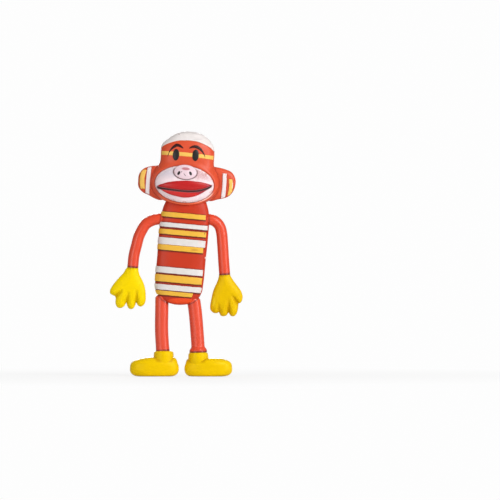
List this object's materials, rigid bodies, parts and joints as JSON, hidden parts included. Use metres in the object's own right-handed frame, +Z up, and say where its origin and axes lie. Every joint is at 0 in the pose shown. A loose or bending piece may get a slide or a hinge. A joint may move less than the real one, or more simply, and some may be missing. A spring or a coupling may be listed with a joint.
{
  "type": "bendy doll",
  "caption": "Flat moulded soft vinyl bendy doll with raised painted stripes, gloved hands and sideways shoes; inner wires let the waist, neck, arms and legs hold a pose.",
  "frame": {"origin": "on the ground under the two soles, in the middle of the bounding box's footprint", "axes": "+Z up the standing doll, -Y the way the face looks, +X towards the doll's left"},
  "size_m": [0.076, 0.0197, 0.1406],
  "materials": {
    "orange_vinyl": "satin soft vinyl",
    "stripe_yellow": "worn satin paint",
    "white_paint": "worn satin paint",
    "eye_black": "gloss paint",
    "brow_brown": "satin paint",
    "muzzle_white": "worn satin paint",
    "lip_red": "satin paint",
    "glove_yellow": "satin soft vinyl",
    "shoe_yellow": "satin soft vinyl",
    "steel_wire": "drawn"
  },
  "bodies": {
    "pelvis": {"pelvis": "orange_vinyl", "waist": "orange_vinyl", "stripe_white_3": "white_paint", "stripe_yellow_4": "stripe_yellow", "stripe_white_4": "white_paint", "stripe_yellow_5": "stripe_yellow", "leg_wire": "steel_wire"},
    "chest": {"chest": "orange_vinyl", "stripe_yellow_1": "stripe_yellow", "stripe_white_1": "white_paint", "stripe_yellow_2": "stripe_yellow", "stripe_white_2": "white_paint", "stripe_yellow_3": "stripe_yellow", "arm_wire": "steel_wire", "spine_wire": "steel_wire"},
    "neck": {"neck": "orange_vinyl"},
    "head": {"head": "orange_vinyl", "cap": "white_paint", "eye_band": "stripe_yellow", "eye_right": "eye_black", "eye_left": "eye_black", "brow_right": "brow_brown", "brow_left": "brow_brown", "muzzle": "muzzle_white", "nose": "muzzle_white", "upper_lip": "lip_red", "lower_lip": "lip_red", "ear_right": "orange_vinyl", "ear_left": "orange_vinyl", "ear_band_white_right": "white_paint", "ear_band_yellow_right": "stripe_yellow", "ear_band_white_left": "white_paint", "ear_band_yellow_left": "stripe_yellow"},
    "shoulder_right": {"shoulder_right": "orange_vinyl"},
    "upper_arm_right": {"upper_arm_right": "orange_vinyl"},
    "forearm_right": {"elbow_right": "orange_vinyl", "forearm_right": "orange_vinyl"},
    "hand_right": {"wrist_right": "orange_vinyl", "hand_right": "glove_yellow"},
    "hip_right": {"hip_right": "orange_vinyl"},
    "thigh_right": {"thigh_right": "orange_vinyl"},
    "shin_right": {"knee_right": "orange_vinyl", "shin_right": "orange_vinyl"},
    "foot_right": {"ankle_right": "orange_vinyl", "shoe_right": "shoe_yellow"},
    "shoulder_left": {"shoulder_left": "orange_vinyl"},
    "upper_arm_left": {"upper_arm_left": "orange_vinyl"},
    "forearm_left": {"elbow_left": "orange_vinyl", "forearm_left": "orange_vinyl"},
    "hand_left": {"wrist_left": "orange_vinyl", "hand_left": "glove_yellow"},
    "hip_left": {"hip_left": "orange_vinyl"},
    "thigh_left": {"thigh_left": "orange_vinyl"},
    "shin_left": {"knee_left": "orange_vinyl", "shin_left": "orange_vinyl"},
    "foot_left": {"ankle_left": "orange_vinyl", "shoe_left": "shoe_yellow"}
  },
  "joints": [
    {"name": "waist_bend", "type": "hinge", "parent": "pelvis", "child": "chest", "pos_m": [0.00254, 0.003, 0.06649], "axis": [0.9959, 0, -0.0906], "range_deg": [-25, 30], "deforming": ["waist", "spine_wire"]},
    {"name": "neck_tilt", "type": "hinge", "parent": "chest", "child": "neck", "pos_m": [0.00517, 0.003, 0.09539], "axis": [0, 1, 0], "range_deg": [-10, 10], "deforming": ["neck", "spine_wire"]},
    {"name": "neck_nod", "type": "hinge", "parent": "neck", "child": "head", "pos_m": [0.00532, 0.003, 0.09711], "axis": [0.9969, 0, -0.0785], "range_deg": [-15, 15], "deforming": ["neck", "spine_wire"]},
    {"name": "shoulder_raise_right", "type": "hinge", "parent": "chest", "child": "shoulder_right", "pos_m": [-0.01284, 0.003, 0.08922], "axis": [0, 1, 0], "range_deg": [-5, 75], "deforming": ["shoulder_right", "arm_wire"]},
    {"name": "shoulder_swing_right", "type": "hinge", "parent": "shoulder_right", "child": "upper_arm_right", "pos_m": [-0.01856, 0.003, 0.08563], "axis": [0.8147, 0, -0.5799], "range_deg": [-75, 45], "deforming": ["shoulder_right", "arm_wire"]},
    {"name": "elbow_bend_right", "type": "hinge", "parent": "upper_arm_right", "child": "forearm_right", "pos_m": [-0.02285, 0.003, 0.07526], "axis": [-0.9676, 0, 0.2524], "range_deg": [-20, 85], "deforming": ["elbow_right", "arm_wire"]},
    {"name": "wrist_bend_right", "type": "hinge", "parent": "forearm_right", "child": "hand_right", "pos_m": [-0.02488, 0.003, 0.06488], "axis": [-0.9968, 0, 0.08], "range_deg": [-50, 50], "deforming": ["wrist_right", "arm_wire"]},
    {"name": "shoulder_raise_left", "type": "hinge", "parent": "chest", "child": "shoulder_left", "pos_m": [0.02182, 0.003, 0.08832], "axis": [0, -1, 0], "range_deg": [-4, 75], "deforming": ["shoulder_left", "arm_wire"]},
    {"name": "shoulder_swing_left", "type": "hinge", "parent": "shoulder_left", "child": "upper_arm_left", "pos_m": [0.02534, 0.003, 0.08264], "axis": [0.9846, 0, 0.1748], "range_deg": [-75, 45], "deforming": ["shoulder_left", "arm_wire"]},
    {"name": "elbow_bend_left", "type": "hinge", "parent": "upper_arm_left", "child": "forearm_left", "pos_m": [0.02634, 0.003, 0.07138], "axis": [-0.9984, 0, -0.0566], "range_deg": [-20, 85], "deforming": ["elbow_left", "arm_wire"]},
    {"name": "wrist_bend_left", "type": "hinge", "parent": "forearm_left", "child": "hand_left", "pos_m": [0.02705, 0.003, 0.0608], "axis": [-0.9972, 0, -0.0742], "range_deg": [-50, 50], "deforming": ["wrist_left", "arm_wire"]},
    {"name": "hip_spread_right", "type": "hinge", "parent": "pelvis", "child": "hip_right", "pos_m": [-0.00933, 0.003, 0.04276], "axis": [0, 1, 0], "range_deg": [-2, 25], "deforming": ["hip_right", "leg_wire"]},
    {"name": "hip_swing_right", "type": "hinge", "parent": "hip_right", "child": "thigh_right", "pos_m": [-0.00901, 0.003, 0.03761], "axis": [-0.998, 0, -0.0626], "range_deg": [-45, 70], "deforming": ["hip_right", "leg_wire"]},
    {"name": "knee_bend_right", "type": "hinge", "parent": "thigh_right", "child": "shin_right", "pos_m": [-0.00827, 0.003, 0.02596], "axis": [0.9974, 0, 0.0725], "range_deg": [-20, 75], "deforming": ["knee_right", "leg_wire"]},
    {"name": "ankle_bend_right", "type": "hinge", "parent": "shin_right", "child": "foot_right", "pos_m": [-0.00779, 0.003, 0.01627], "axis": [0, -1, 0], "range_deg": [-25, 12], "deforming": ["ankle_right", "leg_wire"]},
    {"name": "hip_spread_left", "type": "hinge", "parent": "pelvis", "child": "hip_left", "pos_m": [0.0095, 0.003, 0.04113], "axis": [0, -1, 0], "range_deg": [-2, 25], "deforming": ["hip_left", "leg_wire"]},
    {"name": "hip_swing_left", "type": "hinge", "parent": "hip_left", "child": "thigh_left", "pos_m": [0.01007, 0.003, 0.03615], "axis": [-0.9934, 0, -0.1145], "range_deg": [-45, 70], "deforming": ["hip_left", "leg_wire"]},
    {"name": "knee_bend_left", "type": "hinge", "parent": "thigh_left", "child": "shin_left", "pos_m": [0.01138, 0.003, 0.02489], "axis": [0.9911, 0, 0.1332], "range_deg": [-20, 75], "deforming": ["knee_left", "leg_wire"]},
    {"name": "ankle_bend_left", "type": "hinge", "parent": "shin_left", "child": "foot_left", "pos_m": [0.01221, 0.003, 0.01552], "axis": [0, 1, 0], "range_deg": [-25, 12], "deforming": ["ankle_left", "leg_wire"]}
  ]
}
